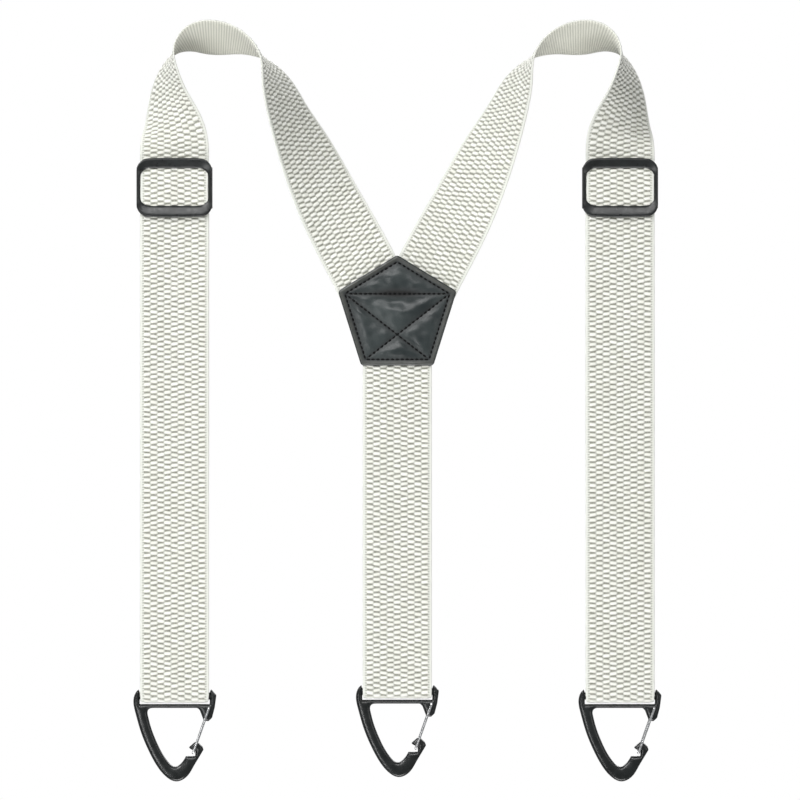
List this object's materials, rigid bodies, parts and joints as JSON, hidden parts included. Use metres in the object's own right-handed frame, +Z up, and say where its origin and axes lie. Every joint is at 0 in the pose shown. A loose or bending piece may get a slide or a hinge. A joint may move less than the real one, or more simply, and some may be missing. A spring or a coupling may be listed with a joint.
{
  "type": "elastic suspender harness for a lumbar support belt",
  "caption": "Y-back elastic suspender harness for a lumbar belt: wide woven straps, leather back patch, slide adjusters and triangular wire-gate hooks.",
  "frame": {"origin": "midway between the two shoulder arches, at the height of their crests", "axes": "+Z up along the hanging straps, -Y towards the outer face that is seen, +X to the viewer's right"},
  "size_m": [0.2911, 0.038, 0.4175],
  "materials": {
    "webbing": "matt woven elastic",
    "patch_leather": "semi-gloss grained leather",
    "patch_thread": "twisted black thread",
    "webbing_thread": "twisted white thread",
    "padding": "stiff felt board",
    "adjuster": "moulded, satin",
    "hook": "cast, satin black paint",
    "gate_wire": "bright drawn wire"
  },
  "bodies": {
    "root": {"patch_front_panel": "patch_leather", "patch_back_panel": "patch_leather", "patch_padding": "padding", "patch_stitching": "patch_thread", "back_strap": "webbing", "left_shoulder_strap": "webbing", "left_upper_ply": "webbing", "right_shoulder_strap": "webbing", "right_upper_ply": "webbing"},
    "left_slider": {"left_adjuster_frame": "adjuster", "left_slider_wrap": "webbing", "left_slider_stitching": "webbing_thread", "left_return_ply": "webbing"},
    "left_hanger": {"left_front_ply": "webbing"},
    "left_end": {"left_clip_loop": "webbing"},
    "right_slider": {"right_adjuster_frame": "adjuster", "right_slider_wrap": "webbing", "right_slider_stitching": "webbing_thread", "right_return_ply": "webbing"},
    "right_hanger": {"right_front_ply": "webbing"},
    "right_end": {"right_clip_loop": "webbing"},
    "back_end": {"back_clip_loop": "webbing", "back_loop_stitching": "webbing_thread"},
    "left_clip": {"left_clip_body": "hook"},
    "left_gate": {"left_clip_gate": "gate_wire"},
    "back_clip": {"back_clip_body": "hook"},
    "back_gate": {"back_clip_gate": "gate_wire"},
    "right_clip": {"right_clip_body": "hook"},
    "right_gate": {"right_clip_gate": "gate_wire"}
  },
  "joints": [
    {"name": "left_adjust", "type": "slide", "parent": "root", "child": "left_slider", "axis": [0, 0, -1], "range_m": [0, 0.2]},
    {"name": "left_drop", "type": "slide", "parent": "left_slider", "child": "left_hanger", "axis": [0, 0, 1], "range_m": [0, 0.1], "deforming": ["left_return_ply"]},
    {"name": "left_stretch", "type": "slide", "parent": "left_hanger", "child": "left_end", "axis": [0, 0, -1], "range_m": [0, 0.04], "stiffness_N_per_m": 220, "springref_m": -0.01, "deforming": ["left_front_ply"]},
    {"name": "right_adjust", "type": "slide", "parent": "root", "child": "right_slider", "axis": [0, 0, -1], "range_m": [0, 0.2]},
    {"name": "right_drop", "type": "slide", "parent": "right_slider", "child": "right_hanger", "axis": [0, 0, 1], "range_m": [0, 0.1], "deforming": ["right_return_ply"]},
    {"name": "right_stretch", "type": "slide", "parent": "right_hanger", "child": "right_end", "axis": [0, 0, -1], "range_m": [0, 0.04], "stiffness_N_per_m": 220, "springref_m": -0.01, "deforming": ["right_front_ply"]},
    {"name": "back_stretch", "type": "slide", "parent": "root", "child": "back_end", "axis": [0, 0, -1], "range_m": [0, 0.06], "stiffness_N_per_m": 220, "springref_m": -0.01, "deforming": ["back_strap"]},
    {"name": "left_clip_swing", "type": "hinge", "parent": "left_end", "child": "left_clip", "pos_m": [-0.1227, 0.00305, -0.3626], "axis": [1, 0, 0], "range_deg": [-90, 90]},
    {"name": "left_gate_open", "type": "hinge", "parent": "left_clip", "child": "left_gate", "pos_m": [-0.1037, 0.00305, -0.369], "axis": [0, 1, 0], "range_deg": [0, 35], "stiffness_Nm_per_rad": 0.05, "springref_deg": -11.46},
    {"name": "back_clip_swing", "type": "hinge", "parent": "back_end", "child": "back_clip", "pos_m": [0, 0.00305, -0.3602], "axis": [1, 0, 0], "range_deg": [-90, 90]},
    {"name": "back_gate_open", "type": "hinge", "parent": "back_clip", "child": "back_gate", "pos_m": [0.019, 0.00305, -0.3666], "axis": [0, 1, 0], "range_deg": [0, 35], "stiffness_Nm_per_rad": 0.05, "springref_deg": -11.46},
    {"name": "right_clip_swing", "type": "hinge", "parent": "right_end", "child": "right_clip", "pos_m": [0.1227, 0.00305, -0.3626], "axis": [1, 0, 0], "range_deg": [-90, 90]},
    {"name": "right_gate_open", "type": "hinge", "parent": "right_clip", "child": "right_gate", "pos_m": [0.1417, 0.00305, -0.369], "axis": [0, 1, 0], "range_deg": [0, 35], "stiffness_Nm_per_rad": 0.05, "springref_deg": -11.46}
  ],
  "couplings": [
    {"joint": "left_drop", "follows": "left_adjust", "ratio": 0.5},
    {"joint": "right_drop", "follows": "right_adjust", "ratio": 0.5}
  ]
}
